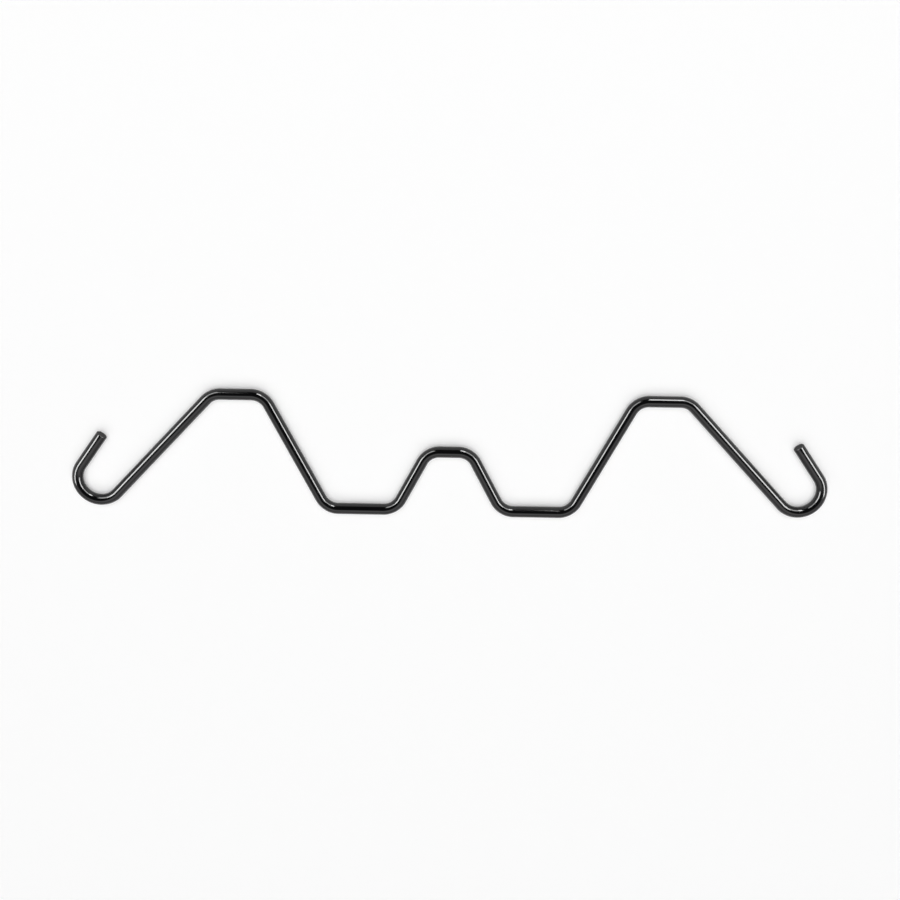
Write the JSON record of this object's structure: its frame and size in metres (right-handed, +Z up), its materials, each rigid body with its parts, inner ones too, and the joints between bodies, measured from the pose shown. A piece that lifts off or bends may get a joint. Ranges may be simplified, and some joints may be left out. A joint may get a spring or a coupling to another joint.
{
  "type": "zigzag wire spring",
  "caption": "Flat zigzag spring bent from round wire, with a low middle crest, taller side crests and sloping arms that end in open hooks.",
  "frame": {"origin": "under the middle of the wire's box, on the surface that the wire lies on", "axes": "+X from the left hook to the right hook, +Y from the valleys to the crests, +Z up through the wire's thickness"},
  "size_m": [0.2678, 0.045, 0.004],
  "materials": {
    "black_enamel": "gloss black enamel over spring steel"
  },
  "bodies": {
    "root": {"zigzag_wire": "black_enamel"}
  },
  "joints": []
}
